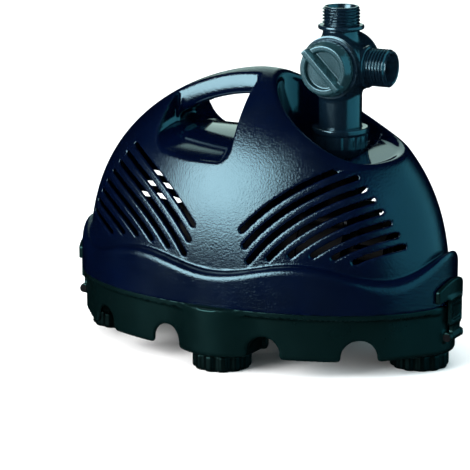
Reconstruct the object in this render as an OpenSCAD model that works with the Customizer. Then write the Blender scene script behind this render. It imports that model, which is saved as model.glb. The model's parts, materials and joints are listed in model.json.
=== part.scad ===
// Fountain submersible pump: a vented dome cover with a carrying handle over a
// legged base tray, a sealed motor and volute inside, and a swivelling diverter
// valve on the outlet. Origin: centre of the footprint, on the resting plane.
// +X runs along the motor axis towards the intake, -Y is the front, +Z is up.

/* [Cover] */
// Half length of the dome at its foot
dome_a = 110.5; // [105:0.5:113]
// Half depth of the dome at its foot
dome_b = 62; // [58:0.5:65]
// Height of the dome's crown above the floor
dome_h = 160; // [155:1:170]
// Wall thickness of the cover
wall = 2.5; // [2:0.1:3]
// Half length of the skirt below the wavy shoulder
skirt_a = 114.6; // [114:0.2:116]
// Half depth of the skirt below the wavy shoulder
skirt_b = 69; // [68:0.5:71]
// Height of the parting line between cover and base
part_z = 37; // [36:0.5:38]

/* [Handle] */
// Left end of the hand opening
hand_x0 = -51; // [-54:0.5:-48]
// Right end of the hand opening
hand_x1 = 1.5; // [0:0.5:3]
// Floor of the hand opening
hand_z = 114; // [112:0.5:116]
// Rise of the hand opening's floor towards the back, in degrees
hand_tilt = 5.5; // [0:0.5:7]
// Thickness of the handle bar
bar_t = 12; // [10:0.5:14]
// Half width of the handle bar
bar_hw = 11; // [9:0.5:13]

/* [Vents] */
// Number of slots in each fan
vent_count = 8; // [6:1:8]
// Width of each slot
vent_w = 3.6; // [3:0.1:4]
// Radius of the outermost slot
vent_r = 128.6; // [127:0.2:129]
// Distance between slots
vent_pitch = 7.07; // [7:0.01:7.2]

/* [Outlet] */
// Position of the outlet axis along X
out_x = 46; // [45:0.5:47]
// Half length of the recess around the outlet
recess_a = 36; // [34:0.5:37]
// Half depth of the recess around the outlet
recess_b = 29; // [28:0.5:31]
// Height of the recess floor
recess_z = 112; // [111:0.5:113]
// Height of the diverter valve's centre
valve_z = 165; // [164:0.5:166]
// Crest radius of the G1/2 male threads
thread_r = 10.475; // [10.3:0.005:10.6]
// Bore radius of the outlets
bore_r = 8; // [7:0.1:8.4]

/* [Motor] */
// Height of the motor axis
motor_z = 60; // [60:0.5:61]
// Outer radius of the motor can
can_r = 30; // [29:0.5:30]
// Radius of the fixed rotor shaft
shaft_r = 2.5; // [2:0.1:3]
// Number of impeller vanes
vane_count = 6; // [4:1:8]

/* [Feet] */
// Height of the rubber feet
foot_h = 9.5; // [8:0.5:10]
// Radius of the rubber feet
foot_r = 16.5; // [15:0.5:17]
// Number of flutes round each foot
flute_count = 12; // [8:1:16]
// Distance of the front and back feet from the centre
foot_y = 53; // [50:0.5:54]
// Distance of the end feet from the centre
foot_x = 96; // [92:0.5:98]

/* [Latches] */
// Distance of the latch pivots from the centre
latch_x = 116.2; // [116.1:0.1:116.6]
// Height of the latch pivots
latch_z = 20; // [19.5:0.5:21]
// Radius of the latch pins
pin_r = 1.5; // [1.2:0.1:1.6]

/* [Hidden] */
navy = [0.06, 0.09, 0.22];
black = [0.05, 0.06, 0.07];
rubber = [0.03, 0.03, 0.035];
eps = 0.01;                 // overlap that joins features of one solid
run = 0.05;                 // radial running clearance
hand_lip = 48;              // distance of the hand opening's front lip from the centre
foot_dome_z = 33;           // height where the dome's profile is widest
crown_p = 2.7;              // exponent that rounds the dome's shoulder
crown_q = 1.65;             // exponent that rounds the dome's crown
base_a = 110.8;             // half length of the base wall
base_b = 65;                // half depth of the base wall
base_wall = 3;              // thickness of the base wall
floor_z = 26;               // top of the base floor
end_r = skirt_b * skirt_b / skirt_a;   // radius of the skirt's ends, seen from above
vent_c = [112, -5];         // centre of the slot fan, in X and Z
recess_c = [48, -3];        // centre of the recess, seen from above
lip_gap = 1.5;              // space between the recess floor and the union nut
can_x0 = -44;               // rear face of the motor can
can_x1 = 33;                // front face of the motor can
vol_x1 = 57;                // front face of the volute
vol_r = 29;                 // outer radius of the volute
screw_ring = 30;            // radius of the volute screw circle
neck_r = 10.2;              // outer radius of the volute's discharge neck
neck_top = 121;             // top of the discharge neck
riser_r = 12;               // outer radius of the diverter's riser
flange_z = 122.5;           // underside of the riser's flange
chamber_r = 12;             // radius of the valve chamber
knob_y = -16;               // back face of the knob
knob_r = 15.4;              // radius of the knob

// Skirt shoulder: [angle from the front, height] at each crest and trough
SHOULDER = [[0, 56], [24, 63], [51, 55], [90, 74.5]];
right_rise = 5.5;           // how much higher the shoulder climbs at its right end

// Cosine blend between two neighbouring shoulder points
function ease(t) = (1 - cos(180 * t)) / 2;
function shoulder(a, i = 0) =
    i >= len(SHOULDER) - 2 || a <= SHOULDER[i + 1][0]
    ? SHOULDER[i][1] + (SHOULDER[i + 1][1] - SHOULDER[i][1])
        * ease((a - SHOULDER[i][0]) / (SHOULDER[i + 1][0] - SHOULDER[i][0]))
    : shoulder(a, i + 1);

// Share of the dome's half length left at a share of its height
function dome_share(t) = pow(1 - pow(t, crown_p), 1 / crown_q);
function ellipse(a, b, n = 96) = [for (i = [0 : n - 1]) [a * cos(360 * i / n), b * sin(360 * i / n)]];

// Teeth of a thread: [radius, height] points between z0 and z1
function thread_points(r, z0, z1, pitch = 1.814) =
    [for (i = [0 : floor((z1 - z0) / pitch) - 1]) each
        [[r - 0.9, z0 + i * pitch], [r, z0 + (i + 0.3) * pitch],
         [r, z0 + (i + 0.7) * pitch], [r - 0.9, z0 + (i + 1) * pitch]]];

module along_x() { rotate([0, 90, 0]) children(); }
module at_motor() { translate([0, 0, motor_z]) along_x() children(); }
module at_outlet(z = 0) { translate([out_x, 0, z]) children(); }
module oval(a, b, z0, z1) { translate([0, 0, z0]) linear_extrude(z1 - z0) polygon(ellipse(a, b)); }
module ring(r1, r0, z0, z1) {
    translate([0, 0, z0]) difference() {
        cylinder(r = r1, h = z1 - z0, $fn = 96);
        translate([0, 0, -1]) cylinder(r = r0, h = z1 - z0 + 2, $fn = 96);
    }
}
module mirrored_x() { children(); mirror([1, 0, 0]) children(); }
module mirrored_y() { children(); mirror([0, 1, 0]) children(); }

// Strip that follows the skirt round its right end
module end_strip(r0, r1, z0, z1, half_width) {
    intersection() {
        translate([skirt_a - end_r, 0, 0]) ring(r1, r0, z0, z1);
        translate([90, -half_width, z0 - 1]) cube([50, 2 * half_width, z1 - z0 + 2]);
    }
}

/* ---- cover ---- */
// Elliptical dome, drawn larger or smaller by grow
module dome_form(grow = 0, bottom = part_z, sides = 64, levels = 11) {
    top = dome_h + grow;
    scale([dome_a + grow, dome_b + grow, 1])
        rotate_extrude($fn = 96)
            polygon(concat([[0, bottom]],
                [for (i = [0 : levels]) let (t = sin(90 * i / levels), z = foot_dome_z + (top - foot_dome_z) * t)
                    [max(dome_share(t), 0), max(z, bottom)]]));
}

// Everything under the wavy shoulder, seen from the front
module below_shoulder() {
    trough = SHOULDER[2][0];
    function climb(a) = a > trough ? right_rise * pow((a - trough) / (90 - trough), 2) : 0;
    steps = [for (a = [-90 : 3 : 90]) [skirt_a * 1.02 * sin(a), shoulder(abs(a)) + climb(a)]];
    ends = [[200, shoulder(90) + right_rise], [200, part_z]];
    translate([0, 100, 0]) rotate([90, 0, 0]) linear_extrude(200)
        polygon(concat([[-200, part_z], [-200, shoulder(90)]], steps, ends));
}

// Upright block with rounded lower corners for the hand opening, its floor rising to the back
module hand_space(grow = 0) {
    r = 8 - grow;
    top = 90;               // well above the crown
    translate([0, -hand_lip, hand_z]) rotate([hand_tilt, 0, 0])
        hull() for (x = [hand_x0 - grow + r, hand_x1 + grow - r])
            translate([x, 0, 0]) {
                translate([0, 0, r - grow]) rotate([90, 0, 0]) cylinder(r = r, h = 240, center = true, $fn = 32);
                translate([-r, -120, top - 10]) cube([2 * r, 240, 10]);
            }
}

// Oval recess with a dished floor: [share of its radius, height over its floor]
module recess_space(grow = 0) {
    dish = [[0, 0], [0.5, 0], [0.76, 1.8], [0.9, 5], [1, 12]];
    translate([recess_c[0], recess_c[1], 0]) scale([recess_a + grow, recess_b + grow, 1]) rotate_extrude($fn = 72)
        polygon(concat([for (d = dish) [d[0], recess_z + d[1] - grow]], [[1, 200], [0, 200]]));
}

// One slot of the fan, as a chain of short rounded links
module vent_slot(i) {
    r = vent_r - vent_pitch * i;
    high = 111.2 - 1.4 * i;
    low = i < 3 ? 138.8 + 2.35 * i : 138.7 - 5.45 * (i - 3);
    links = 4;
    for (k = [0 : links - 1]) hull() for (e = [0, 1]) {
        a = high + (low - high) * (k + e) / links;
        translate([vent_c[0] + r * cos(a), 0, vent_c[1] + r * sin(a)])
            rotate([90, 0, 0]) cylinder(d = vent_w, h = 200, center = true, $fn = 8);
    }
}

module dome_cover() {
    color(navy) difference() {
        union() {
            difference() {
                dome_form();
                hand_space();
            }
            intersection() {
                difference() {
                    dome_form();
                    dome_form(-bar_t);
                }
                translate([hand_x0 - 4, -bar_hw, hand_z]) cube([hand_x1 - hand_x0 + 8, 2 * bar_hw, 100]);
            }
            intersection() {
                oval(skirt_a, skirt_b, part_z, 80);
                below_shoulder();
            }
        }
        recess_space();
        difference() {
            dome_form(-wall, part_z - 1, 44, 8);
            hand_space(wall);
            recess_space(wall);
        }
        oval(skirt_a - wall, skirt_b - wall, part_z - 1, 52);
        at_outlet(recess_z - 10) cylinder(r = neck_r + 0.7, h = 20, $fn = 48);
        mirrored_x() end_strip(end_r - 1.6, end_r + 2, 41.1, 43.2, 7);
        intersection() {
            mirrored_x() for (i = [0 : vent_count - 1]) vent_slot(i);
            difference() {
                dome_form(8, part_z, 24, 6);
                dome_form(-wall - 1, part_z - 2, 24, 6);
            }
        }
    }
}

/* ---- base ---- */
FEET = [[0, -foot_y, "foot_front"], [0, foot_y, "foot_back"], [-foot_x, 0, "foot_left"], [foot_x, 0, "foot_right"]];
LOBES = [[0, -48.5, 24], [0, 48.5, 24], [-foot_x, 0, 18.5], [foot_x, 0, 18.5]];
lug_y0 = 5.4;               // inner face of the latch lugs
lug_y1 = 8.6;               // outer face of the latch lugs

// Arch through the base wall
module arch(x, y, turn, r, top) {
    translate([x, y, top - r]) rotate([90, 0, turn]) cylinder(r = r, h = 30, center = true, $fn = 48);
    translate([x, y, top - r - 15]) rotate([0, 0, turn]) cube([2 * r, 30, 30], center = true);
}

module lobes(z0, z1) { for (l = LOBES) translate([l[0], l[1], z0]) cylinder(r = l[2], h = z1 - z0, $fn = 96); }

// Round bar along Y through the right latch pivot
module pivot_bar(r, half_width) {
    translate([latch_x, half_width, latch_z]) rotate([90, 0, 0]) cylinder(r = r, h = 2 * half_width, $fn = 48);
}

module base_tray() {
    lug_r = 2.8;
    color(black) difference() {
        union() {
            oval(base_a, base_b, foot_h, part_z + 5);
            oval(skirt_a - 1, skirt_b - 1, part_z - 3, part_z);
            lobes(foot_h, part_z - 1);
            mirrored_x() {
                pivot_bar(lug_r, lug_y1);
                translate([latch_x - 8, -lug_y1, latch_z - lug_r]) cube([8, 2 * lug_y1, 2 * lug_r]);
            }
        }
        difference() {
            oval(base_a - base_wall, base_b - base_wall, foot_h - 1, floor_z - 3);
            lobes(0, 60);
        }
        oval(base_a - base_wall, base_b - base_wall, floor_z, part_z + 6);
        mirrored_x() mirrored_y() {
            arch(30, -60, 0, 9, 22);
            arch(81, -46, 31, 10, 22);
        }
        for (x = [-60 : 12 : 60], s = [-1, 1]) translate([x - 2, s * 24 - 9, floor_z - 5]) cube([4, 18, 8]);
        for (f = FEET) translate([f[0], f[1], 0]) cylinder(r = 2, h = 22, $fn = 32);
        mirrored_x() {
            pivot_bar(3.1, lug_y0);
            pivot_bar(pin_r + 0.02, 12);
        }
    }
}

module foot(f) {
    color(rubber) translate([f[0], f[1], 0]) difference() {
        rotate_extrude($fn = 72)
            polygon([[0, 0], [foot_r - 1.5, 0], [foot_r, 1.5], [foot_r, foot_h], [0, foot_h]]);
        for (i = [0 : flute_count - 1]) rotate([0, 0, (i + 0.5) * 360 / flute_count])
            translate([foot_r + 0.9, 0, -1]) cylinder(r = 2.4, h = foot_h + 2, $fn = 24);
        translate([0, 0, -1]) cylinder(r = 5, h = 5, $fn = 48);
        translate([0, 0, -1]) cylinder(r = 2.1, h = foot_h + 2, $fn = 32);
    }
}
module foot_front() { foot(FEET[0]); }
module foot_back() { foot(FEET[1]); }
module foot_left() { foot(FEET[2]); }
module foot_right() { foot(FEET[3]); }

module foot_screws() {
    color("silver") for (f = FEET) translate([f[0], f[1], 0]) difference() {
        union() {
            translate([0, 0, 1.5]) cylinder(r = 4, h = 2.5, $fn = 48);
            translate([0, 0, 4 - eps]) cylinder(r = 1.95, h = 17, $fn = 32);
        }
        for (a = [0, 90]) rotate([0, 0, a]) translate([-2.5, -0.5, 0]) cube([5, 1, 2.7]);
    }
}

/* ---- latches ---- */
// Lever with a curved thumb band that hugs the skirt's end; a tooth inside it snaps into the skirt's groove
module latch_right() {
    hinge_hw = 5;
    lever_hw = 8;
    band_hw = 16;
    band_top = 52.2;
    arch_r = 27;
    inner = latch_x - 0.4;
    color(black) difference() {
        union() {
            pivot_bar(2.6, hinge_hw);
            translate([inner, -hinge_hw, latch_z]) cube([2.2, 2 * hinge_hw, 8]);
            translate([inner, -lever_hw, latch_z + 7]) cube([2.2, 2 * lever_hw, 16]);
            intersection() {
                end_strip(end_r + 0.5, end_r + 3.1, 40.5, band_top, band_hw);
                translate([90, 0, band_top - arch_r]) rotate([0, 90, 0]) cylinder(r = arch_r, h = 50, $fn = 96);
            }
            end_strip(end_r - 1.2, end_r + 1, 41.5, 42.7, 6);
        }
        pivot_bar(pin_r + run, 2 * hinge_hw);
    }
}
module latch_left() { mirror([1, 0, 0]) latch_right(); }

module latch_pins() {
    head = 0.8;
    color("silver") mirrored_x() {
        pivot_bar(pin_r, lug_y1 + eps);
        translate([latch_x, -lug_y1, latch_z]) rotate([90, 0, 0]) cylinder(r = 2.2, h = head, $fn = 32);
    }
}

/* ---- motor ---- */
module motor_can() {
    well_r = 11.5;
    color(black) at_motor() difference() {
        rotate_extrude($fn = 96)
            polygon([[0, can_x0], [can_r - 4, can_x0], [can_r, can_x0 + 4], [can_r, can_x1],
                [well_r, can_x1], [well_r, -36], [0, -36]]);
        rotate_extrude($fn = 96)
            polygon([[well_r + 1.5, can_x0 + 3], [can_r - 2, can_x0 + 5], [can_r - 2, can_x1 - 2.5],
                [well_r + 1.5, can_x1 - 2.5]]);
    }
}

module stator_core() {
    color("dimgray") at_motor() difference() {
        ring(25, 14.5, -25, 20);
        for (i = [0 : 5]) rotate([0, 0, i * 60]) translate([20, 0, -30]) cylinder(r = 2.6, h = 60, $fn = 32);
    }
}

module stator_coils() {
    color("peru") at_motor() for (x = [-30, 25]) translate([0, 0, x]) rotate_extrude($fn = 72)
        polygon([[15, -4], [23, -4], [25, -2], [25, 2], [23, 4], [15, 4], [14, 3], [14, -3]]);
}

module cable_gland() {
    color(black) translate([can_x0, 0, motor_z + 12]) rotate([0, -90, 0]) difference() {
        union() {
            cylinder(r = 6, h = 5, $fn = 6);
            cylinder(r = 4.6, h = 11, $fn = 48);
            translate([0, 0, 11 - eps]) cylinder(r1 = 4.6, r2 = 3.6, h = 3, $fn = 48);
        }
        translate([0, 0, 1]) cylinder(r = 2.8, h = 20, $fn = 32);
    }
}

CRADLE_X = [-30, 17];
module motor_cradle() {
    color(black) for (x = CRADLE_X) difference() {
        translate([x - 3, -25, floor_z]) cube([6, 50, 21]);
        at_motor() cylinder(r = can_r + 2, h = 200, center = true, $fn = 96);
    }
}

module cradle_pads() {
    color(rubber) for (x = CRADLE_X) intersection() {
        at_motor() ring(can_r + 2 - 0.02, can_r + 0.02, x - 3, x + 3);
        translate([x - 5, -24, floor_z - 5]) cube([10, 48, 25]);
    }
}

module rear_bush() { color(rubber) at_motor() ring(11.45, shaft_r + 0.02, -36, -31); }
module front_bush() { color(rubber) at_motor() ring(6, shaft_r + 0.02, 50, 56); }
module rotor_shaft() { color("white") at_motor() translate([0, 0, -36]) cylinder(r = shaft_r, h = 90, $fn = 48); }
module rotor_magnet() { color("dimgray") at_motor() ring(10.4, shaft_r + run, -29, 26); }

module impeller() {
    vane_tip = 22;
    color("whitesmoke") at_motor() difference() {
        union() {
            translate([0, 0, 26]) cylinder(r = 8, h = 18, $fn = 64);
            translate([0, 0, 37]) cylinder(r = vane_tip, h = 2, $fn = 96);
            for (i = [0 : vane_count - 1]) rotate([0, 0, i * 360 / vane_count])
                translate([6, -0.9, 38]) cube([vane_tip - 6.5, 1.8, 10]);
        }
        translate([0, 0, 20]) cylinder(r = shaft_r + run, h = 40, $fn = 48);
    }
}

/* ---- volute ---- */
module volute_bolts(r, x0, x1) {
    for (a = [45 : 90 : 315]) rotate([0, 0, a]) translate([screw_ring, 0, x0]) cylinder(r = r, h = x1 - x0, $fn = 32);
}

module volute_housing() {
    x0 = can_x1 + 0.3;
    color(black) difference() {
        union() {
            at_motor() translate([0, 0, x0]) cylinder(r = vol_r, h = vol_x1 - x0, $fn = 96);
            at_motor() volute_bolts(3.6, x0, vol_x1);
            at_outlet(motor_z) cylinder(r = neck_r, h = neck_top - motor_z, $fn = 72);
        }
        at_motor() translate([0, 0, x0 + 2.5]) cylinder(r = vol_r - 3.5, h = 30, $fn = 96);
        at_motor() translate([0, 0, x0 - 1]) cylinder(r = 10, h = 10, $fn = 64);
        at_motor() ring(21.1, 18.9, x0 - 1, x0 + 1.3);
        at_motor() volute_bolts(1.55, vol_x1 - 14, vol_x1 + 1);
        at_outlet(motor_z + 5) cylinder(r = bore_r + 0.4, h = 100, $fn = 64);
    }
}

module volute_seal() { color(rubber) at_motor() ring(21, 19, can_x1, can_x1 + 1.5); }

module volute_cover() {
    color(black) at_motor() {
        ring(9, 6.02, 50, vol_x1 + 3);
        for (a = [30, 150, 270]) rotate([0, 0, a]) translate([8.5, -1.5, vol_x1]) cube([8, 3, 3]);
        difference() {
            union() {
                ring(vol_r - 0.01, 16, vol_x1, vol_x1 + 3);
                volute_bolts(3.6, vol_x1, vol_x1 + 3);
            }
            volute_bolts(1.6, vol_x1 - 1, vol_x1 + 4);
        }
    }
}

module volute_screws() {
    color("silver") at_motor() {
        volute_bolts(1.5, vol_x1 - 10, vol_x1 + 3 + eps);
        volute_bolts(2.8, vol_x1 + 3, vol_x1 + 5);
    }
}

module intake_strainer() {
    x0 = vol_x1 + 3;
    x1 = 82;
    color(black) at_motor() difference() {
        translate([0, 0, x0]) cylinder(r = 21, h = x1 - x0, $fn = 96);
        translate([0, 0, x0 - 1]) cylinder(r = 19, h = x1 - x0 - 1, $fn = 96);
        for (i = [0 : 15]) rotate([0, 0, i * 22.5]) translate([17, -1.5, x0 + 4]) cube([8, 3, x1 - x0 - 8]);
        for (y = [-12 : 6 : 12]) translate([-12, y - 1.2, x1 - 5]) cube([24, 2.4, 10]);
    }
}

/* ---- outlet and diverter ---- */
module union_seal() { color(rubber) at_outlet() ring(neck_r - 0.1, bore_r + 0.6, neck_top, flange_z - 0.1); }

module union_nut() {
    z0 = recess_z + lip_gap;
    grips = 16;
    color(black) at_outlet() difference() {
        rotate_extrude($fn = 96)
            polygon([[neck_r + 0.08, z0], [12.4, z0], [15, z0 + 6], [15.4, z0 + 14], [16, z0 + 14.4], [16, z0 + 16.6],
                [15.4, z0 + 17], [riser_r + 0.08, z0 + 17], [riser_r + 0.08, 126.4], [14.2, 126.4], [14.2, 121],
                [neck_r + 0.08, 121]]);
        for (i = [0 : grips - 1]) rotate([0, 0, (i + 0.5) * 360 / grips])
            translate([16.4, 0, z0 + 1]) cylinder(r = 1.5, h = 13, $fn = 24);
    }
}

// Male threaded spigot along +Z with a stop collar, from z0 to z1
module spigot(z0, z1, collar_r) {
    rotate_extrude($fn = 96)
        polygon(concat([[0, 0], [10.2, 0], [10.2, z0 - 2.4], [collar_r, z0 - 2.4], [collar_r, z0]],
            thread_points(thread_r, z0, z1), [[thread_r - 0.9, z1], [0, z1]]));
}

module diverter_body() {
    color(black) difference() {
        union() {
            at_outlet() {
                translate([0, 0, flange_z]) cylinder(r = 13.8, h = 3.6, $fn = 96);
                translate([0, 0, flange_z]) cylinder(r = riser_r, h = 30, $fn = 96);
                translate([0, 15, valve_z]) rotate([90, 0, 0]) cylinder(r = 17.5, h = 27, $fn = 96);
            }
            at_outlet(valve_z) spigot(22.2, 32.4, 12.8);
            at_outlet(valve_z) along_x() spigot(18, 31, 11.8);
        }
        at_outlet(flange_z - 1) cylinder(r = bore_r + 0.4, h = 40, $fn = 72);
        at_outlet(valve_z) cylinder(r = bore_r, h = 40, $fn = 72);
        at_outlet(valve_z) along_x() cylinder(r = bore_r, h = 40, $fn = 72);
        at_outlet(valve_z) translate([0, 12.5, 0]) rotate([90, 0, 0]) cylinder(r = chamber_r, h = 30, $fn = 96);
    }
}

module valve_plug() {
    stem_r = 5;
    color("dimgray") at_outlet(valve_z) difference() {
        union() {
            translate([0, 12.2, 0]) rotate([90, 0, 0]) cylinder(r = chamber_r - run, h = 24, $fn = 96);
            rotate([90, 0, 0]) cylinder(r = stem_r, h = 20, $fn = 64);
        }
        for (a = [0, 90, 180]) rotate([0, a, 0]) cylinder(r = 6.4, h = 20, $fn = 48);
        translate([0, -8.4, 0]) rotate([90, 0, 0]) ring(13, 10.2, 0, 1.8);
    }
}

module plug_seal() {
    color(rubber) at_outlet(valve_z) translate([0, -8.5, 0]) rotate([90, 0, 0]) ring(chamber_r - run, 10.25, 0, 1.6);
}

module valve_bonnet() {
    color(black) at_outlet(valve_z) rotate([90, 0, 0]) rotate_extrude($fn = 96)
        polygon([[5.08, 12], [17.5, 12], [17.5, 13], [16.7, 13.3], [17.3, 13.6], [17.3, 14.2], [16.5, 14.5],
            [16.9, 14.8], [16.9, 15.3], [5.08, 15.3]]);
}

// Round knob with a raised rim and a tilted grip bar across its face
module valve_knob() {
    face = 6.5;
    bar_len = 29.4;
    color(black) at_outlet(valve_z) translate([0, knob_y, 0]) rotate([90, 0, 0]) difference() {
        union() {
            rotate_extrude($fn = 96)
                polygon([[0, 0], [knob_r - 0.6, 0], [knob_r, 0.6], [knob_r, 3], [knob_r - 1.6, face],
                    [knob_r - 2, face + 1], [knob_r - 4.6, face + 1], [knob_r - 5, face - 1.5], [0, face - 1.5]]);
            rotate([0, 0, -45]) translate([-bar_len / 2, -1.8, 2]) cube([bar_len, 3.6, face + 2.5]);
        }
        translate([0, 0, -1]) cylinder(r = 5.02, h = 5.1, $fn = 64);
        for (i = [0 : 35]) rotate([0, 0, i * 10]) translate([knob_r + 0.35, 0, 0.6]) cylinder(r = 0.7, h = 2.4, $fn = 16);
    }
}

dome_cover();
base_tray();
latch_left();
latch_right();
latch_pins();
foot_front();
foot_back();
foot_left();
foot_right();
foot_screws();
motor_can();
stator_core();
stator_coils();
cable_gland();
motor_cradle();
cradle_pads();
rear_bush();
front_bush();
rotor_shaft();
rotor_magnet();
impeller();
volute_housing();
volute_cover();
volute_seal();
volute_screws();
intake_strainer();
union_seal();
union_nut();
diverter_body();
valve_plug();
plug_seal();
valve_bonnet();
valve_knob();
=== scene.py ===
"""Looks of the fountain pump: shells, fittings, materials, light and camera around its frame."""

import json
import math

import bpy
import numpy as np
from mathutils import Matrix, Vector


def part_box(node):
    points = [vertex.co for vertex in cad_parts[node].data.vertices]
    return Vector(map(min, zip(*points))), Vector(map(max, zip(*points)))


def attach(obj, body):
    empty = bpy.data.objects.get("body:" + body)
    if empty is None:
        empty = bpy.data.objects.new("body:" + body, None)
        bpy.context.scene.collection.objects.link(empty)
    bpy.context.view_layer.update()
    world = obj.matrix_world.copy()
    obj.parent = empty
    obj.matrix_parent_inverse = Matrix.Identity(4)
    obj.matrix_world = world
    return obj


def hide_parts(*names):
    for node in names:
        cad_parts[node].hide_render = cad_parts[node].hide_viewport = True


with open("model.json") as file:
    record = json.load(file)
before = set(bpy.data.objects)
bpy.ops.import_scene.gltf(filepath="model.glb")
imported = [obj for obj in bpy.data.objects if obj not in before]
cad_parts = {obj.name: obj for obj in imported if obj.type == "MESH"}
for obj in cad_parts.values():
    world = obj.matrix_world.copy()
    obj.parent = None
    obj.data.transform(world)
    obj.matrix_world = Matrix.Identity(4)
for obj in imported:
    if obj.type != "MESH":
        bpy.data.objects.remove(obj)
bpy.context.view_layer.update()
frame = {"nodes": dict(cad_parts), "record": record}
MM = 0.001


def box_mm(node):
    """Lowest and highest corner of a CAD node, in millimetres."""
    low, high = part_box(node)
    return np.array(low) / MM, np.array(high) / MM


# ---------------------------------------------------------------- driving sizes, in millimetres
cover_low, cover_high = box_mm("dome_cover")
base_low, base_high = box_mm("base_tray")
nut_low, nut_high = box_mm("union_nut")

CROWN = cover_high[2]                                   # top of the dome
PART_Z = cover_low[2]                                   # parting line between cover and base
SKIRT_A, SKIRT_B = cover_high[0], cover_high[1]         # half axes of the skirt
DOME_A, DOME_B = SKIRT_A - 4.1, SKIRT_B - 7.0           # half axes of the dome at its foot
END_R = SKIRT_B**2 / SKIRT_A                            # radius of the skirt's ends, seen from above
DOME_FOOT = 33.0
WALL = 2.5
RISER_HOLE_R = 11.2                                     # hole in the recess for the riser
OUT_X = (nut_low[0] + nut_high[0]) / 2                  # outlet axis
RECESS_A, RECESS_B, RECESS_Z = 36.0, 29.0, nut_low[2] - 1.5
RECESS_X, RECESS_Y = OUT_X + 2, -3.0
HAND_X0, HAND_X1, HAND_Z = -51.0, 1.5, 114.0            # hand opening at its front lip
HAND_LIP = 48.0                                         # its floor starts this far in front of the middle
HAND_RISE = 10.0                                        # how far its floor climbs to the middle
BAR_T, BAR_HALF = 12.0, 9.9
VENT_W, VENT_R, VENT_PITCH, VENT_COUNT = 2.9, 128.6, 7.07, 8
VENT_X, VENT_Z = 112.0, -5.0
SHOULDER = ((0, 56.0), (24, 63.0), (51, 55.0), (90, 74.5))
RIGHT_RISE = 5.5                                        # the shoulder climbs higher at its right end
THREAD_PITCH, THREAD_DEPTH, CREST_R = 1.814, 1.16, 10.47
WAY_R = 8.0                                             # water way through both outlets


# ---------------------------------------------------------------- distance fields
def smin(a, b, k):
    """Union of two fields with a fillet about k wide."""
    h = np.clip(0.5 + 0.5 * (b - a) / k, 0, 1)
    return b + (a - b) * h - k * h * (1 - h)


def smax(a, b, k):
    """Intersection of two fields with a rounded edge about k wide."""
    return -smin(-a, -b, k)


def ellipse(x, y, a, b):
    """Near-surface distance to an upright elliptical cylinder."""
    near = np.sqrt((x / a) ** 2 + (y / b) ** 2) + 1e-6
    slope = np.sqrt((x / a**2) ** 2 + (y / b**2) ** 2) + 1e-6
    return near * (near - 1) / slope


def dome(x, y, z, grow=0.0):
    """Near-surface distance to the dome, drawn larger or smaller by grow."""
    a, b, rise = DOME_A + grow, DOME_B + grow, CROWN + grow - DOME_FOOT
    p, q = 2.7, 1.65
    rho = np.sqrt((x / a) ** 2 + (y / b) ** 2) + 1e-4
    t = np.maximum((z - DOME_FOOT) / rise, 1e-3)
    level = rho**q + t**p - 1
    side = q * rho ** (q - 2)
    slope = np.sqrt((side * x / a**2) ** 2 + (side * y / b**2) ** 2 + (p * t ** (p - 1) / rise) ** 2)
    return level / np.maximum(slope, 2e-3)


def rounded_box(u, v, u0, u1, v0, v1, r):
    """Distance in a plane to a box with rounded corners."""
    du = np.abs(u - (u0 + u1) / 2) - (u1 - u0) / 2 + r
    dv = np.abs(v - (v0 + v1) / 2) - (v1 - v0) / 2 + r
    return np.hypot(np.maximum(du, 0), np.maximum(dv, 0)) + np.minimum(np.maximum(du, dv), 0) - r


def disc(u, v, cu, cv, r):
    return np.hypot(u - cu, v - cv) - r


def shoulder_height(x):
    """Height of the wavy shoulder above a place along the pump."""
    turn = np.degrees(np.arcsin(np.clip(np.abs(x) / (SKIRT_A * 1.02), 0, 1)))
    height = np.zeros_like(turn)
    for (a0, z0), (a1, z1) in zip(SHOULDER[:-1], SHOULDER[1:]):
        t = np.clip((turn - a0) / (a1 - a0), 0, 1)
        inside = (turn >= a0) & (turn <= a1 if a1 == 90 else turn < a1)
        height = np.where(inside, z0 + (z1 - z0) * (1 - np.cos(math.pi * t)) / 2, height)
    return height + RIGHT_RISE * np.where(x > 0, np.clip((turn - 51) / 39, 0, 1) ** 2, 0)


def vent_slots(x, z):
    """Distance in the XZ plane to both fans of curved slots."""
    px, pz = np.abs(x) - VENT_X, z - VENT_Z
    reach, turn = np.hypot(px, pz), np.degrees(np.arctan2(pz, px))
    nearest = np.full(np.broadcast(px, pz).shape, 1e3)
    for i in range(VENT_COUNT):
        radius = VENT_R - VENT_PITCH * i
        high = 111.2 - 1.4 * i
        low = 138.8 + 2.35 * i if i < 3 else 138.7 - 5.45 * (i - 3)
        middle, half = math.radians((high + low) / 2), math.radians((low - high) / 2)
        away = np.abs(np.radians(turn) - middle)
        end_u, end_v = radius * math.cos(half), radius * math.sin(half)
        ends = np.hypot(reach * np.cos(away) - end_u, reach * np.sin(away) - end_v)
        along = np.where(away < half, np.abs(reach - radius), ends)
        nearest = np.minimum(nearest, along - VENT_W / 2)
    return nearest


def hand_space(x, y, z, grow=0.0):
    inward = np.maximum(y + HAND_LIP, 0)
    over = z - HAND_Z - HAND_RISE * inward * (2 - inward / HAND_LIP) / HAND_LIP
    return rounded_box(x, over, HAND_X0 - grow, HAND_X1 + grow, -grow, 120, 8 - grow)


def recess(x, y, z, grow=0.0):
    share = np.sqrt(((x - RECESS_X) / RECESS_A) ** 2 + ((y - RECESS_Y) / RECESS_B) ** 2)
    side = ellipse(x - RECESS_X, y - RECESS_Y, RECESS_A + grow, RECESS_B + grow)
    right = np.clip((x - OUT_X - 4) / 12, 0, 1)
    right = right**2 * (3 - 2 * right)
    floor = RECESS_Z + (1 - right) * 4.5 * share**3 + right * (4.8 + 0.16 * (y - RECESS_Y)) - grow
    return smax(side, floor - z, 6.0)


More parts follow.
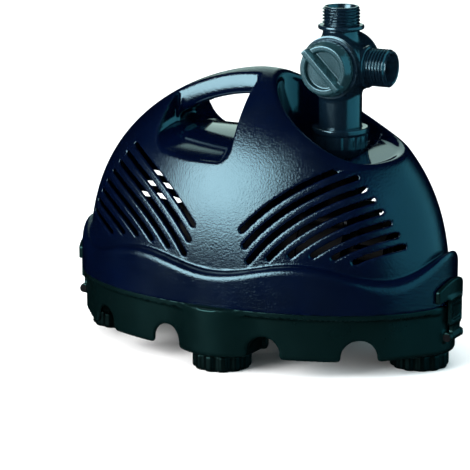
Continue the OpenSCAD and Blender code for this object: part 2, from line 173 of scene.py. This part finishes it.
def end_strip(x, y, z, r0, r1, z0, z1, half_width):
    """A strip that follows the skirt round both of its ends."""
    r = np.hypot(np.abs(x) - SKIRT_A + END_R, y)
    strip = rounded_box(r, z, r0, r1, z0, z1, 0.5)
    return smax(np.maximum(strip, SKIRT_A - 24 - np.abs(x)), np.abs(y) - half_width, 0.8)


def cover_field(x, y, z):
    outer = dome(x, y, z)
    depth = np.maximum(outer, -BAR_T)
    bar = smax(np.abs(y) - BAR_HALF + (0.15 + 0.0045 * depth) * depth, -dome(x, y, z, -BAR_T), 4.5)
    outer = smax(outer, -smax(hand_space(x, y, z), -bar, 3.0), 1.8)
    outer = smax(outer, -recess(x, y, z), 5.0)
    ends = np.clip((np.abs(x) - 80) / 30, 0, 1)
    skirt = smax(ellipse(x, y, SKIRT_A, SKIRT_B), z - shoulder_height(x), 4.5 + 6 * ends)
    shell = smin(outer, skirt, 1.3)
    shell = smax(shell, -end_strip(x, y, z, END_R - 1.6, END_R + 2, 41.1, 43.2, 7), 0.6)
    void = np.minimum(dome(x, y, z, -WALL), np.maximum(ellipse(x, y, SKIRT_A - WALL, SKIRT_B - WALL), z - 52))
    void = smax(void, -hand_space(x, y, z, WALL), 1.0)
    void = smax(void, -recess(x, y, z, WALL), 1.0)
    shell = smax(shell, -void, 0.8)
    shell = smax(shell, -np.maximum(disc(x, y, OUT_X, 0, RISER_HOLE_R), RECESS_Z - 12 - z), 0.8)
    slots = smax(vent_slots(x, z), -dome(x, y, z, -6.0), 0.8)
    slots = smax(slots, -recess(x, y, z, 5.0), 0.8)
    shell = smax(shell, -slots, 1.2)
    return smax(shell, PART_Z - z, 1.4)


FOOT_NAMES = ("foot_front", "foot_back", "foot_left", "foot_right")
FEET = {name: [(a + b) / 2 for a, b in zip(*box_mm(name))][:2] for name in FOOT_NAMES}
FOOT_H = box_mm("foot_front")[1][2]
LOBES = ((0, 48.5, 23.9), (FEET["foot_right"][0], 0, 18.5))
BASE_A, BASE_B = SKIRT_A - 3.8, SKIRT_B - 4
FLOOR_Z = 26.0
latch_low = box_mm("latch_right")[0]
diverter_low, diverter_high = box_mm("diverter_body")
knob_low, knob_high = box_mm("valve_knob")
VALVE_Z = (knob_low[2] + knob_high[2]) / 2              # axis of the valve
VALVE_DOWN = diverter_low[2] - VALVE_Z                  # foot of its riser
PIN_X, PIN_Z = SKIRT_A + 1.6, latch_low[2] + 2.6
LUG_Y0, LUG_Y1, LUG_R = 5.4, 8.6, 2.8                   # inner and outer face of each lug, and its round end
BAND_R, BAND_TOP = 27.0, 52.2                           # arched top edge of the latch's band


def arch_field(x, y, z, cx, cy, turn, r, top):
    """An arch through the base wall, turned about the upright axis."""
    c, s = math.cos(math.radians(turn)), math.sin(math.radians(turn))
    u, w = (x - cx) * c + (y - cy) * s, -(x - cx) * s + (y - cy) * c
    round_top = np.where(z > top - r, np.hypot(u, z - top + r) - r, np.abs(u) - r)
    return np.maximum(round_top, np.abs(w) - 15)


def base_field(x, y, z):
    ax, ay = np.abs(x), np.abs(y)
    wall = ellipse(x, y, BASE_A, BASE_B)
    (x0, y0, r0), (x1, y1, r1) = LOBES
    lobes = np.minimum(disc(x, ay, x0, y0, r0), disc(ax, y, x1, y1, r1))
    outline = smin(wall, lobes, 9.0)
    body = np.minimum(smax(outline, z - PART_Z + 0.3, 0.6), smax(wall, z - PART_Z - 5, 1.2))
    flange = smax(ellipse(x, y, SKIRT_A - 1.2, SKIRT_B - 1.2), np.abs(z - PART_Z + 1.2) - 1.8, 0.4)
    body = smin(body, flange, 1.6)
    lug = rounded_box(ax, z, PIN_X - 10, PIN_X, PIN_Z - LUG_R, PIN_Z + LUG_R, 0.5)
    lug = np.minimum(disc(ax, z, PIN_X, PIN_Z, LUG_R), lug)
    body = smin(body, smax(lug, ay - LUG_Y1, 0.8), 1.2)
    body = smax(body, -np.maximum(disc(ax, z, PIN_X, PIN_Z, 3.1), ay - LUG_Y0), 0.5)
    under = np.maximum(ellipse(x, y, BASE_A - 3, BASE_B - 3), z - FLOOR_Z + 3)
    body = smax(body, -smax(under, -lobes, 3.0), 1.2)
    body = smax(body, -np.maximum(ellipse(x, y, BASE_A - 3, BASE_B - 3), FLOOR_Z - z), 1.0)
    for cx, cy, turn, r in ((30, -60, 0, 9), (81, -46, 31, 10)):
        body = smax(body, -arch_field(ax, -ay, z, cx, cy, turn, r, 22), 1.8)
    slot_x = np.abs((x + 6) % 12 - 6)
    slots = np.maximum(rounded_box(slot_x, ay, -2, 2, 15, 33, 1.5), np.abs(x) - 66)
    body = smax(body, -np.maximum(slots, np.abs(z - FLOOR_Z + 1.5) - 6), 0.6)
    body = smax(body, -np.maximum(disc(ax, z, PIN_X, PIN_Z, 1.55), ay - 12), 0.4)
    return smax(body, FOOT_H - z, 3.0)


def foot_field(x, y, z):
    r, turn = np.hypot(x, y), np.arctan2(y, x)
    step = 2 * math.pi / 12
    local = (turn + math.pi) % step - step / 2
    flutes = np.hypot(r * np.cos(local) - 17.4, r * np.sin(local)) - 2.5
    foot = smax(r - 16.4, np.abs(z - FOOT_H / 2) - FOOT_H / 2, 2.0)
    foot = smax(foot, -flutes, 1.2)
    well = np.maximum(r - 5, z - 4)
    return smax(smax(foot, -well, 0.8), -(r - 2.1), 0.4)


def latch_field(x, y, z):
    """Lever from its pivot with a curved thumb band at its top: the right one, in its place."""
    ay = np.abs(y)
    lever_x = (PIN_X - 0.4, PIN_X + 1.8)
    low = np.maximum(rounded_box(x, z, *lever_x, PIN_Z, PIN_Z + 9, 0.5), ay - 5)
    wide = smax(rounded_box(x, z, *lever_x, PIN_Z + 7, PIN_Z + 22, 0.6), ay - 8, 1.0)
    lever = smin(smin(low, smax(disc(x, z, PIN_X, PIN_Z, 2.6), ay - 5, 0.5), 1.0), wide, 2.0)
    drop = BAND_R - np.sqrt(np.maximum(BAND_R**2 - y**2, 1))
    band = end_strip(x, y, z + 0.4 * drop, END_R + 0.5, END_R + 3.1, 42.0, 60.0, 16)
    band = smax(band, z + drop - BAND_TOP, 1.0)
    tooth = end_strip(x, y, z, END_R - 1.2, END_R + 1.6, 41.5, 42.7, 6)
    latch = smin(smin(lever, band, 2.6), tooth, 0.6)
    hollow = smax(rounded_box(y, z, -5.4, 5.4, PIN_Z + 9.5, PIN_Z + 17.5, 1.5), PIN_X + 1.1 - x, 0.6)
    latch = smax(latch, -hollow, 0.6)
    return smax(latch, -(np.hypot(x - PIN_X, z - PIN_Z) - 1.56), 0.3)


def latch_at(side):
    """The latch's field at the right end, for a side of 1, or at the left end, for -1."""
    return lambda x, y, z: latch_field(side * x, y, z)


def barrel(axis_a, axis_b, along, r, low, high, k):
    """A round bar of radius r between two places along its axis, with rounded ends."""
    return smax(np.hypot(axis_a, axis_b) - r, np.abs(along - (low + high) / 2) - (high - low) / 2, k)


def diverter_field(x, y, z):
    """Valve body from its centre: riser down, outlets up and towards +X, chamber along Y."""
    chamber = barrel(x, z, y, 17.5, -12, 15, 1.6)
    cap = barrel(x, z, y, 12.5, 13, 15.6, 0.8)
    riser = barrel(x, y, z, 12.0, VALVE_DOWN, -8, 0.8)
    flange = barrel(x, y, z, 13.8, VALVE_DOWN, VALVE_DOWN + 3.6, 0.8)
    top = barrel(x, y, z, 10.2, 4, 22.0, 0.6)
    top_collar = barrel(x, y, z, 12.8, 19.8, 22.2, 1.0)
    side = barrel(y, z, x, 10.2, 4, 18, 0.6)
    side_collar = barrel(y, z, x, 11.8, 15.6, 18, 1.0)
    body = smin(chamber, cap, 0.8)
    body = smin(body, riser, 2.6)
    body = smin(body, top, 3.2)
    body = smin(body, side, 3.2)
    body = smin(smin(body, top_collar, 0.8), side_collar, 0.8)
    body = np.minimum(body, flange)
    cut = np.minimum(barrel(x, y, z, 8.4, VALVE_DOWN - 5, 0, 0.1), barrel(x, y, z, WAY_R, 0, 40, 0.1))
    cut = np.minimum(cut, barrel(y, z, x, WAY_R, 0, 40, 0.1))
    cut = np.minimum(cut, barrel(x, z, y, 12.0, -30, 12.5, 0.1))
    return smax(body, -cut, 0.6)


def nut_field(x, y, z):
    """Union nut from its lower face: a flared skirt with grip flutes under a rim."""
    r, turn = np.hypot(x, y), np.arctan2(y, x)
    flare = 12.4 + 2.8 * np.clip(z / 6, 0, 1) + 0.3 * np.clip((z - 6) / 8, 0, 1)
    skirt = smax(r - flare, np.abs(z - 7.5) - 7.5, 1.4)
    rim = smax(r - 16.0, np.abs(z - 15.3) - 1.7, 1.0)
    step = 2 * math.pi / 16
    local = (turn + math.pi) % step - step / 2
    flutes = np.maximum(np.hypot(r * np.cos(local) - 16.4, r * np.sin(local)) - 1.6, z - 13.4)
    nut = smin(smax(skirt, -flutes, 1.0), rim, 0.6)
    bore = np.minimum(r - 10.28, np.maximum(r - 14.2, np.abs(z - 10.2) - 2.7))
    bore = np.where(z > 10.2, np.minimum(r - 12.08, np.maximum(r - 14.2, np.abs(z - 10.2) - 2.7)), bore)
    return smax(nut, -bore, 0.4)


def knob_field(x, y, z):
    """Knob from its back face: Z out of the face, grip bar across it."""
    r, turn = np.hypot(x, y), np.arctan2(y, x)
    step = 2 * math.pi / 36
    local = (turn + math.pi) % step - step / 2
    side = 15.4 - 1.6 * np.clip((z - 3) / 3.5, 0, 1)
    plate = smax(r - side, np.abs(z - 3.75) - 3.75, 1.0)
    grips = np.maximum(np.hypot(r * np.cos(local) - 15.9, r * np.sin(local)) - 0.75, np.abs(z - 1.8) - 1.2)
    plate = smax(plate, -grips, 0.4)
    plate = smax(plate, -smax(r - 10.6, 5.0 - z, 0.8), 0.7)
    u, v = (x - y) * math.sqrt(0.5), (x + y) * math.sqrt(0.5)
    thick = 2.3 - 0.5 * np.clip((z - 5) / 6, 0, 1)
    bar = smax(smax(np.abs(v) - thick, np.abs(u) - 14.7, 0.8), np.abs(z - 6.5) - 4.5, 0.8)
    knob = smin(plate, bar, 0.8)
    return smax(knob, -np.maximum(r - 5.02, z - 4.1), 0.3)


# ---------------------------------------------------------------- from field to mesh
def field_mesh(name, field, low, high, step):
    """A smooth mesh, in metres, of where a field of millimetres is zero."""
    low, high = np.array(low, float) - 2 * step, np.array(high, float) + 2 * step
    axes = [np.arange(low[i], high[i] + step, step) for i in range(3)]
    gx, gy, gz = axes[0][:, None, None], axes[1][None, :, None], axes[2][None, None, :]
    full = tuple(len(a) for a in axes)
    values = np.broadcast_to(field(gx, gy, gz), full)
    inside = values < 0
    count = np.zeros([n - 1 for n in full], np.int8)
    corners = [(i, j, k) for i in (0, 1) for j in (0, 1) for k in (0, 1)]
    for i, j, k in corners:
        count += inside[i:full[0] - 1 + i, j:full[1] - 1 + j, k:full[2] - 1 + k]
    active = (count > 0) & (count < 8)
    index = np.full(active.shape, -1, np.int64)
    total = int(active.sum())
    index[active] = np.arange(total)
    weight, sums, quads = np.zeros(total), np.zeros((total, 3)), []
    for axis in range(3):
        first = tuple(slice(0, -1) if a == axis else slice(None) for a in range(3))
        second = tuple(slice(1, None) if a == axis else slice(None) for a in range(3))
        cells = np.argwhere(inside[first] != inside[second])
        b, c = (axis + 1) % 3, (axis + 2) % 3
        above_start = (cells[:, b] > 0) & (cells[:, c] > 0)
        below_end = (cells[:, b] < full[b] - 1) & (cells[:, c] < full[c] - 1)
        cells = cells[above_start & below_end]
        after = cells.copy()
        after[:, axis] += 1
        v0, v1 = values[tuple(cells.T)], values[tuple(after.T)]
        point = cells.astype(float)
        point[:, axis] += v0 / (v0 - v1)
        ring = []
        for db, dc in ((-1, -1), (0, -1), (0, 0), (-1, 0)):
            cell = cells.copy()
            cell[:, b] += db
            cell[:, c] += dc
            found = index[tuple(cell.T)]
            ring.append(found)
            weight += np.bincount(found, minlength=total)
            for a in range(3):
                sums[:, a] += np.bincount(found, point[:, a], minlength=total)
        ring = np.array(ring).T
        out = v0 < 0
        quads += [ring[out], ring[~out][:, ::-1]]
    points = low + sums / weight[:, None] * step
    points = settle(field, points, step)
    mesh = bpy.data.meshes.new(name)
    quads = np.concatenate(quads)
    fill_mesh(mesh, points * MM, quads)
    piece = bpy.data.objects.new(name, mesh)
    bpy.context.scene.collection.objects.link(piece)
    shade_by_field(piece, field, step)
    return piece


def slope_of(field, p, reach):
    """Gradient of a field at many points."""
    grad = np.zeros_like(p)
    for a in range(3):
        shift = np.zeros(3)
        shift[a] = reach
        q0, q1 = p - shift, p + shift
        grad[:, a] = (field(q1[:, 0], q1[:, 1], q1[:, 2]) - field(q0[:, 0], q0[:, 1], q0[:, 2])) / (2 * reach)
    return grad


def settle(field, p, step):
    """Moves points onto the surface, by no more than half a grid step."""
    start = p.copy()
    for _ in range(3):
        grad = slope_of(field, p, step * 0.08)
        size = np.maximum((grad**2).sum(1), 0.05)
        p = p - grad * (field(p[:, 0], p[:, 1], p[:, 2]) / size)[:, None] * 0.9
        p = start + np.clip(p - start, -step * 0.5, step * 0.5)
    return p


def fill_mesh(mesh, points, faces):
    """Writes points and same-sided faces into a mesh."""
    sides = faces.shape[1]
    mesh.vertices.add(len(points))
    mesh.vertices.foreach_set("co", points.astype(np.float32).ravel())
    mesh.loops.add(faces.size)
    mesh.loops.foreach_set("vertex_index", faces.astype(np.int32).ravel())
    mesh.polygons.add(len(faces))
    mesh.polygons.foreach_set("loop_start", np.arange(0, faces.size, sides, dtype=np.int32))
    mesh.update(calc_edges=True)
    mesh.validate()
    mesh.shade_smooth()


def vertices_of(piece):
    """Vertex places of a mesh, in millimetres."""
    co = np.zeros(len(piece.data.vertices) * 3, np.float32)
    piece.data.vertices.foreach_get("co", co)
    return co.reshape(-1, 3).astype(float) / MM


def shade_by_field(piece, field, step):
    """Gives the mesh the field's own normals, so that faces don't show."""
    mesh = piece.data
    mesh.shade_smooth()
    grad = slope_of(field, vertices_of(piece), step * 0.25)
    grad /= np.maximum(np.linalg.norm(grad, axis=1, keepdims=True), 1e-9)
    mesh.normals_split_custom_set_from_vertices(grad.tolist())


def set_down(piece, place_mm, turn=None):
    """Puts a mesh made round its own origin in its place in the row frame."""
    if turn is not None:
        piece.data.transform(turn)
    piece.data.transform(Matrix.Translation(Vector(place_mm) * MM))
    return piece


def thread_mesh(name, start, end, crest, depth, bore):
    """A male thread along +Z: a helical ridge on a hollow spigot, in metres."""
    sides, per_turn = 96, 12
    rows = int((end - start) / THREAD_PITCH * per_turn)
    turn = np.arange(sides) / sides
    unit_x, unit_y = np.cos(turn * 2 * math.pi), np.sin(turn * 2 * math.pi)
    rings = []
    for z in np.linspace(start, end, rows + 1):
        phase = (z / THREAD_PITCH - turn) % 1
        ridge = np.clip(1.25 - 2.5 * np.abs(phase - 0.5) * 1.25, 0, 1)
        ridge = ridge * min(1, (z - start) / 1.0) * min(1, max(0, (end - 0.2 - z) / 0.9))
        r = crest - depth + depth * ridge ** 0.8
        rings.append(np.stack([r * unit_x, r * unit_y, np.full(sides, z)], 1))
    for r, z in ((bore + 0.9, end), (bore + 0.25, end), (bore, end - 0.25), (bore, start)):
        rings.append(np.stack([r * unit_x, r * unit_y, np.full(sides, z)], 1))
    points = np.concatenate(rings)
    count = len(rings)
    row, column = np.meshgrid(np.arange(count), np.arange(sides), indexing="ij")
    here, there = row * sides, (row + 1) % count * sides
    after = (column + 1) % sides
    faces = np.stack([here + column, here + after, there + after, there + column], -1).reshape(-1, 4)
    mesh = bpy.data.meshes.new(name)
    fill_mesh(mesh, points * MM, faces)
    mesh.set_sharp_from_angle(angle=math.radians(50))
    piece = bpy.data.objects.new(name, mesh)
    bpy.context.scene.collection.objects.link(piece)
    return piece


# ---------------------------------------------------------------- materials
def noise(tree, place, cell, detail=3.0, rough=0.5):
    """A noise whose cells are that many metres across."""
    node = tree.nodes.new("ShaderNodeTexNoise")
    node.inputs["Scale"].default_value = 1 / cell
    node.inputs["Detail"].default_value = detail
    node.inputs["Roughness"].default_value = rough
    tree.links.new(place, node.inputs["Vector"])
    return node.outputs["Fac"]


def spread(tree, value, low, high, to_low, to_high):
    """Maps one range of a value onto another."""
    node = tree.nodes.new("ShaderNodeMapRange")
    for name, number in (("From Min", low), ("From Max", high), ("To Min", to_low), ("To Max", to_high)):
        node.inputs[name].default_value = number
    tree.links.new(value, node.inputs["Value"])
    return node.outputs["Result"]


def multiply(tree, first, second):
    node = tree.nodes.new("ShaderNodeMath")
    node.operation = "MULTIPLY"
    tree.links.new(first, node.inputs[0])
    tree.links.new(second, node.inputs[1])
    return node.outputs[0]


def blend_colours(tree, factor, first, second):
    node = tree.nodes.new("ShaderNodeMix")
    node.data_type = "RGBA"
    tree.links.new(factor, node.inputs["Factor"])
    for socket, colour in ((node.inputs[6], first), (node.inputs[7], second)):
        if isinstance(colour, tuple):
            socket.default_value = (*colour, 1)
        else:
            tree.links.new(colour, socket)
    return node.outputs[2]


def bump(tree, height, depth, before=None):
    node = tree.nodes.new("ShaderNodeBump")
    node.inputs["Strength"].default_value = 1.0
    node.inputs["Distance"].default_value = depth
    tree.links.new(height, node.inputs["Height"])
    if before is not None:
        tree.links.new(before, node.inputs["Normal"])
    return node.outputs["Normal"]


def start_material(name):
    material = bpy.data.materials.new(name)
    material.use_nodes = True
    tree = material.node_tree
    place = tree.nodes.new("ShaderNodeTexCoord").outputs["Object"]
    return material, tree, tree.nodes["Principled BSDF"], place


def moulded(name, dark, light, roughness, grain, depth, level=0.5, tint=(1, 1, 1), blotch=0.03, worn=None):
    """Moulded plastic or rubber: cloudy colour, spark grain, patchy gloss and paler worn edges.

    Where a mesh carries a polish value the grain fades and the surface shines.
    """
    material, tree, shader, place = start_material(name)
    cloud = noise(tree, place, blotch, 4)
    colour = blend_colours(tree, spread(tree, cloud, 0.35, 0.65, 0, 1), dark, light)
    edge = tree.nodes.new("ShaderNodeNewGeometry").outputs["Pointiness"]
    patches = spread(tree, noise(tree, place, 0.004, 5), 0.4, 0.7, 0, 0.8)
    scuff = multiply(tree, spread(tree, edge, 0.52, 0.62, 0, 1), patches)
    colour = blend_colours(tree, scuff, colour, worn or tuple(3 * c + 0.002 for c in light))
    tree.links.new(colour, shader.inputs["Base Color"])
    gloss = spread(tree, noise(tree, place, blotch * 0.6, 5), 0.3, 0.7, roughness - 0.04, roughness + 0.05)
    polish = tree.nodes.new("ShaderNodeAttribute")
    polish.attribute_name = "polish"
    shine = multiply(tree, gloss, spread(tree, polish.outputs["Fac"], 0, 1, 1, 0.5))
    tree.links.new(shine, shader.inputs["Roughness"])
    waves = bump(tree, noise(tree, place, 0.014, 1), 0.00003)
    sparks = bump(tree, noise(tree, place, grain, 2, 0.6), depth, waves)
    tree.links.new(spread(tree, polish.outputs["Fac"], 0, 1, 1, 0.1), sparks.node.inputs["Strength"])
    tree.links.new(sparks, shader.inputs["Normal"])
    shader.inputs["Specular IOR Level"].default_value = level
    shader.inputs["Specular Tint"].default_value = (*tint, 1)
    return material


def striped_metal(name, dark, light, roughness, stripe, depth, axis, metallic=1.0):
    """Metal laid in fine stripes across one axis: brushing, stacked sheets or wound wire."""
    material, tree, shader, place = start_material(name)
    wave = tree.nodes.new("ShaderNodeTexWave")
    wave.bands_direction = axis
    wave.inputs["Scale"].default_value = 0.31 / stripe
    wave.inputs["Distortion"].default_value = 1.2
    wave.inputs["Detail"].default_value = 2
    tree.links.new(place, wave.inputs["Vector"])
    streak = wave.outputs["Fac"]
    tree.links.new(blend_colours(tree, streak, dark, light), shader.inputs["Base Color"])
    gloss = spread(tree, noise(tree, place, 0.003, 4), 0.3, 0.7, roughness - 0.06, roughness + 0.08)
    tree.links.new(gloss, shader.inputs["Roughness"])
    tree.links.new(bump(tree, streak, depth), shader.inputs["Normal"])
    shader.inputs["Metallic"].default_value = metallic
    return material


SKY = (0.5, 0.86, 1.0)
POOL = (0.35, 1.0, 1.0)
# Near-black for the motor plastic: the part's own dark colour, darkened further as painted shade for the
# inside of the housing seen through its openings.
PAINTED_SHADE_BLACK = (0.0015, 0.0016, 0.0018)
MATERIALS = {
    "navy_shell": moulded(
        "navy_shell", (0.0001, 0.0009, 0.0055), (0.0002, 0.0014, 0.008), 0.19, 0.001, 0.00017, 0.6, SKY),
    "black_shell": moulded(
        "black_shell", (0.0004, 0.0024, 0.0026), (0.0006, 0.0036, 0.0038), 0.3, 0.0005, 0.00004, 0.26, POOL),
    "fitting_plastic": moulded(
        "fitting_plastic", (0.001, 0.004, 0.008), (0.0018, 0.0062, 0.012), 0.19, 0.0005, 0.00002, 0.9, SKY),
    # Lighter copy of the fitting plastic for the knob: its paler base colour is painted light, standing in
    # for the floor's reflection on the knob's faces.
    "knob_plastic_painted_light": moulded(
        "knob_plastic_painted_light", (0.005, 0.017, 0.021), (0.0075, 0.024, 0.029), 0.22, 0.0005, 0.00002, 0.85, SKY),
    "foot_rubber": moulded(
        "foot_rubber", (0.0001, 0.0005, 0.0006), (0.0002, 0.0008, 0.001), 0.4, 0.0007, 0.00005, 0.16, POOL),
    "seal_rubber": moulded(
        "seal_rubber", (0.003, 0.003, 0.003), (0.006, 0.006, 0.006), 0.65, 0.0005, 0.00004, 0.4),
    "stainless": striped_metal(
        "stainless", (0.007, 0.008, 0.009), (0.018, 0.02, 0.022), 0.4, 0.0004, 0.00001, "X"),
    # Motor plastic in near-black with almost no shine: painted shade inside the housing.
    "motor_plastic": moulded("motor_plastic", PAINTED_SHADE_BLACK, PAINTED_SHADE_BLACK, 0.5, 0.0006, 0.00004, 0.05, worn=PAINTED_SHADE_BLACK),
    "lamination": striped_metal(
        "lamination", (0.05, 0.05, 0.052), (0.22, 0.22, 0.22), 0.5, 0.0005, 0.00008, "X"),
    "copper_winding": striped_metal(
        "copper_winding", (0.22, 0.06, 0.015), (0.62, 0.24, 0.08), 0.35, 0.0006, 0.0002, "X"),
    "ceramic": moulded(
        "ceramic", (0.72, 0.71, 0.68), (0.8, 0.79, 0.76), 0.18, 0.0003, 0.000004, worn=(0.8, 0.8, 0.78)),
    "ferrite": moulded(
        "ferrite", (0.035, 0.035, 0.038), (0.06, 0.06, 0.064), 0.42, 0.0003, 0.00003, worn=(0.1, 0.1, 0.1)),
    "impeller_plastic": moulded(
        "impeller_plastic", (0.4, 0.41, 0.4), (0.5, 0.51, 0.5), 0.45, 0.0006, 0.00004, worn=(0.6, 0.6, 0.6)),
    "plug_plastic": moulded(
        "plug_plastic", (0.03, 0.031, 0.034), (0.05, 0.051, 0.055), 0.4, 0.0005, 0.00003),
}
NODE_SLOT = {part["node"]: part["material_slot"] for part in frame["record"]["subparts"]}


def finish_piece(piece, body, slot, *nodes, look=None):
    """Gives a new piece its material and says what it rides on and stands for."""
    piece.data.materials.clear()
    piece.data.materials.append(MATERIALS[look or slot])
    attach(piece, body)
    if nodes:
        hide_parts(*nodes)


# ---------------------------------------------------------------- pieces
FINE = 1.0


def make_cover():
    """The dome cover, polished where the recess and the hand opening sink into it."""
    cover = field_mesh("moulded_cover", cover_field, cover_low, cover_high, 1.15 * FINE)
    x, y, z = vertices_of(cover).T
    hollow = np.minimum(recess(x, y, z), hand_space(x, y, z))
    sunk = np.minimum(np.clip(1.5 - hollow / 1.2, 0, 1), np.clip(dome(x, y, z) / -1.5 - 0.6, 0, 1))
    cover.data.attributes.new("polish", "FLOAT", "POINT").data.foreach_set("value", sunk.astype(np.float32))
    finish_piece(cover, "housing", "navy_shell", "dome_cover")


def make_base():
    base = field_mesh("moulded_base", base_field, base_low, base_high, 1.15 * FINE)
    finish_piece(base, "housing", "black_shell", "base_tray")


def make_feet():
    for name, (x, y) in FEET.items():
        foot = field_mesh("fluted_" + name, foot_field, (-17, -17, 0), (17, 17, FOOT_H), 0.6 * FINE)
        set_down(foot, (x, y, 0))
        finish_piece(foot, "housing", "foot_rubber", name)


def make_latches():
    for side, name in ((1, "latch_right"), (-1, "latch_left")):
        low, high = box_mm(name)
        piece = field_mesh("moulded_" + name, latch_at(side), low, high, 0.5 * FINE)
        finish_piece(piece, name, "black_shell", name)


def make_fittings():
    nut = field_mesh("moulded_nut", nut_field, (-16.2, -16.2, 0), (16.2, 16.2, 17), 0.5 * FINE)
    set_down(nut, (OUT_X, 0, nut_low[2]))
    finish_piece(nut, "nut", "fitting_plastic", "union_nut")
    low, high = (-17.8, -12, VALVE_DOWN), (18.2, 16, 22.4)
    body = field_mesh("moulded_diverter", diverter_field, low, high, 0.6 * FINE)
    set_down(body, (OUT_X, 0, VALVE_Z))
    finish_piece(body, "diverter", "fitting_plastic", "diverter_body")
    top = thread_mesh("top_thread", 22.0, diverter_high[2] - VALVE_Z, CREST_R, THREAD_DEPTH, WAY_R)
    set_down(top, (OUT_X, 0, VALVE_Z))
    finish_piece(top, "diverter", "fitting_plastic")
    side = thread_mesh("side_thread", 17.8, diverter_high[0] - OUT_X, CREST_R, THREAD_DEPTH, WAY_R)
    set_down(side, (OUT_X, 0, VALVE_Z), Matrix.Rotation(math.pi / 2, 4, "Y"))
    finish_piece(side, "diverter", "fitting_plastic")
    knob = field_mesh("moulded_knob", knob_field, (-16, -16, 0), (16, 16, 11), 0.42 * FINE)
    set_down(knob, (OUT_X, knob_high[1], VALVE_Z), Matrix.Rotation(math.pi / 2, 4, "X"))
    # The knob takes the lighter copy of the fitting plastic, with painted light in its colour.
    finish_piece(knob, "knob", "fitting_plastic", "valve_knob", look="knob_plastic_painted_light")


def dress_nodes():
    """Carried-over CAD nodes get their slot's material, and soft edges where they can be seen."""
    for name, node in frame["nodes"].items():
        node.data.materials.clear()
        node.data.materials.append(MATERIALS[NODE_SLOT[name]])
        edge = node.modifiers.new("soft_edges", "BEVEL")
        edge.width, edge.segments = 0.0003, 2
        edge.limit_method, edge.angle_limit = "ANGLE", math.radians(40)
        edge.use_clamp_overlap = True
        edge.harden_normals = True


# ---------------------------------------------------------------- stage, light and camera
def aim(thing, place, target):
    thing.location = place
    thing.rotation_euler = (Vector(target) - Vector(place)).to_track_quat("-Z", "Y").to_euler()


def around(azimuth, elevation, reach):
    """A place round the pump: azimuth 0 is in front, 90 at its right end."""
    a, e = math.radians(azimuth), math.radians(elevation)
    return Vector((math.sin(a) * math.cos(e), -math.cos(a) * math.cos(e), math.sin(e))) * reach


def make_stage():
    size, ring = 12.0, 96
    turn = np.arange(ring) / ring * 2 * math.pi
    points = np.stack([size * np.cos(turn), size * np.sin(turn), np.zeros(ring)], 1)
    mesh = bpy.data.meshes.new("floor")
    mesh.from_pydata(points.tolist(), [], [list(range(ring))])
    floor = bpy.data.objects.new("floor", mesh)
    bpy.context.scene.collection.objects.link(floor)
    material, tree, shader, place = start_material("floor")
    tone = blend_colours(tree, noise(tree, place, 0.5, 3), (0.86, 0.86, 0.86), (0.9, 0.9, 0.9))
    tree.links.new(tone, shader.inputs["Base Color"])
    shader.inputs["Roughness"].default_value = 0.9
    shader.inputs["Specular IOR Level"].default_value = 0.1
    floor.data.materials.append(material)
    floor.visible_glossy = False


def make_light(name, azimuth, elevation, reach, width, height, power, colour, shines=True):
    data = bpy.data.lights.new(name, "AREA")
    data.shape, data.size, data.size_y = "RECTANGLE", width, height
    data.energy, data.color = power, colour
    light = bpy.data.objects.new(name, data)
    bpy.context.scene.collection.objects.link(light)
    aim(light, around(azimuth, elevation, reach) + Vector((0, 0, 0.08)), (0, 0, 0.08))
    light.visible_glossy = shines
    light.visible_camera = False


def make_lights():
    make_light("key", -28, 20, 1.3, 0.95, 0.9, 38, (1, 1, 1))
    make_light("side", 103, 15, 1.5, 2.95, 1.6, 18.8, (0.2, 0.82, 1))
    make_light("rim", -150, 27, 1.5, 0.5, 1.05, 2.25, (0.72, 1, 0.92))
    make_light("overhead", 0, 89, 2.2, 3.0, 3.0, 52, (1, 1, 1), False)
    world = bpy.data.worlds.new("studio")
    world.use_nodes = True
    world.node_tree.nodes["Background"].inputs["Color"].default_value = (1, 1, 1, 1)
    world.node_tree.nodes["Background"].inputs["Strength"].default_value = 0.85
    world.cycles_visibility.glossy = False
    bpy.context.scene.world = world
    bpy.context.scene.view_settings.view_transform = "Standard"


def make_camera():
    data = bpy.data.cameras.new("camera")
    camera = bpy.data.objects.new("camera", data)
    bpy.context.scene.collection.objects.link(camera)
    reach, view_width = 1.5, 0.266
    data.sensor_width = 36
    data.lens = data.sensor_width * reach / view_width
    back = around(28.0, 13.35, 1)
    right = Vector((-back.y, back.x, 0)).normalized()
    height, shift_right, shift_up = 0.080, 0.0177, 0.0163
    target = Vector((0, 0, height)) - right * shift_right - back.cross(right) * shift_up
    aim(camera, target + back * reach, target)
    bpy.context.scene.camera = camera


make_camera()
make_cover()
make_base()
make_feet()
make_latches()
make_fittings()
dress_nodes()
make_stage()
make_lights()

bpy.context.view_layer.update()
